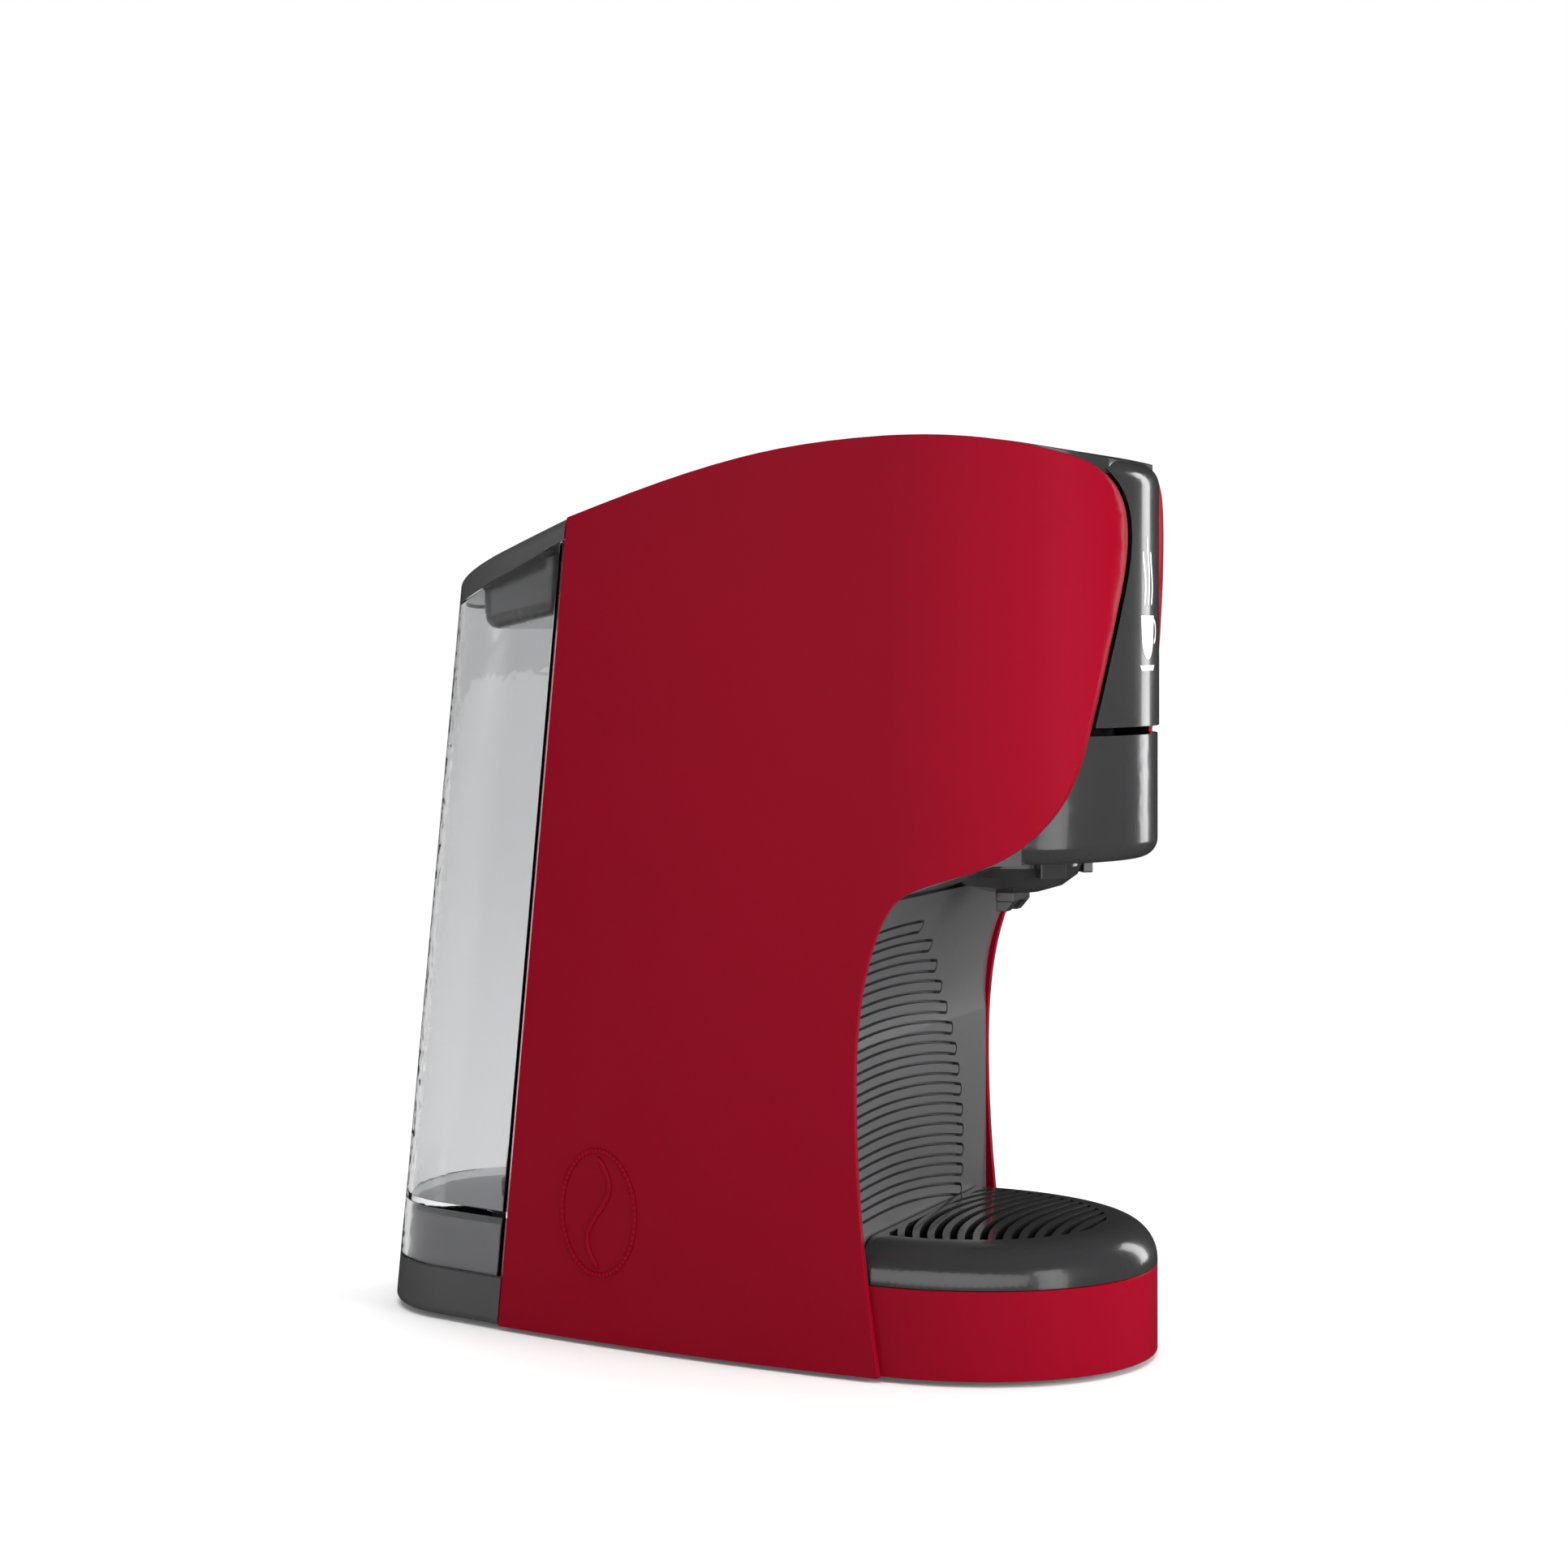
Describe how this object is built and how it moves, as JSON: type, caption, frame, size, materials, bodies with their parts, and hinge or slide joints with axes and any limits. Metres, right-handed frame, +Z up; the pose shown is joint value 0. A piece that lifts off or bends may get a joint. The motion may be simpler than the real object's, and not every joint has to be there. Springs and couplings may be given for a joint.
{
  "type": "pod espresso machine",
  "caption": "Slim pod espresso machine with a lifting hood that raises the brew piston, a ribbed cup alcove, a lift-out drip tray and a clear rear water tank.",
  "frame": {"origin": "centre of the footprint on the table", "axes": "+Z up, -Y towards the front with the spout, +X to the right of someone facing the front"},
  "size_m": [0.1222, 0.2773, 0.3001],
  "materials": {
    "red_gloss": "gloss",
    "black_gloss": "gloss",
    "black_satin": "satin",
    "grey_satin": "satin",
    "clear_tank": "clear",
    "white_plastic": "satin",
    "frame_steel": "brushed",
    "pin_steel": "polished",
    "cast_metal": "satin",
    "brass": "satin",
    "rubber_black": "matte",
    "board_green": "satin",
    "hose_clear": "matte"
  },
  "bodies": {
    "base": {"alcove_wall": "black_satin", "base_plate": "black_satin", "base_ring": "red_gloss", "boiler": "cast_metal", "boiler_bracket": "frame_steel", "brew_base": "black_satin", "brew_hose": "hose_clear", "brew_switch": "black_satin", "cable_gland": "rubber_black", "control_board": "board_green", "frame_screws": "pin_steel", "front_pump_mount": "rubber_black", "head_front": "black_gloss", "hinge_pin": "pin_steel", "inlet_hose": "hose_clear", "left_frame": "frame_steel", "left_side_shell": "red_gloss", "left_spout_latch": "black_gloss", "piston_guide": "black_satin", "pod_seat": "cast_metal", "power_switch": "black_satin", "pressure_hose": "hose_clear", "pump": "brass", "rear_pump_mount": "rubber_black", "rear_shelf": "black_satin", "right_frame": "frame_steel", "right_side_shell": "red_gloss", "right_spout_latch": "black_gloss", "rubber_feet": "rubber_black", "spout_dish": "black_gloss", "spout_nozzle": "black_gloss", "tank_bulkhead": "black_satin", "tank_pedestal": "grey_satin", "top_cover": "black_satin", "valve_seal": "rubber_black", "valve_socket": "black_satin"},
    "hood": {"hood": "black_gloss", "left_cam": "frame_steel", "right_cam": "frame_steel"},
    "piston": {"brew_piston": "cast_metal", "piston_seals": "rubber_black", "shower_screen": "pin_steel", "piston_gasket": "rubber_black", "cross_pin": "pin_steel"},
    "tank": {"water_tank": "clear_tank", "tank_valve": "black_satin"},
    "lid": {"tank_lid": "black_gloss"},
    "tray": {"drip_tub": "black_satin"},
    "cover": {"drip_cover": "black_gloss"},
    "power_key": {"power_button": "white_plastic"},
    "brew_key": {"brew_button": "white_plastic"}
  },
  "joints": [
    {"name": "hood_hinge", "type": "hinge", "parent": "base", "child": "hood", "pos_m": [0, -0.03675, 0.288], "axis": [-1, 0, 0], "range_deg": [0, 60]},
    {"name": "piston_slide", "type": "slide", "parent": "base", "child": "piston", "axis": [0, 0, 1], "range_m": [0, 0.01201]},
    {"name": "tank_lift", "type": "slide", "parent": "base", "child": "tank", "axis": [0, -0.1069, 0.9943], "range_m": [0, 0.045]},
    {"name": "lid_lift", "type": "slide", "parent": "tank", "child": "lid", "axis": [0, 0, 1], "range_m": [0, 0.04]},
    {"name": "tray_lift", "type": "slide", "parent": "base", "child": "tray", "axis": [0, 0, 1], "range_m": [0, 0.035]},
    {"name": "cover_lift", "type": "slide", "parent": "tray", "child": "cover", "axis": [0, 0, 1], "range_m": [0, 0.025]},
    {"name": "power_push", "type": "slide", "parent": "base", "child": "power_key", "axis": [0, 0, -1], "range_m": [0, 0.0015], "stiffness_N_per_m": 400, "springref_m": -0.003},
    {"name": "brew_push", "type": "slide", "parent": "base", "child": "brew_key", "axis": [0, 0, -1], "range_m": [0, 0.0015], "stiffness_N_per_m": 400, "springref_m": -0.003}
  ],
  "couplings": [
    {"joint": "piston_slide", "follows": "hood_hinge", "m_per_rad": 0.011459}
  ]
}
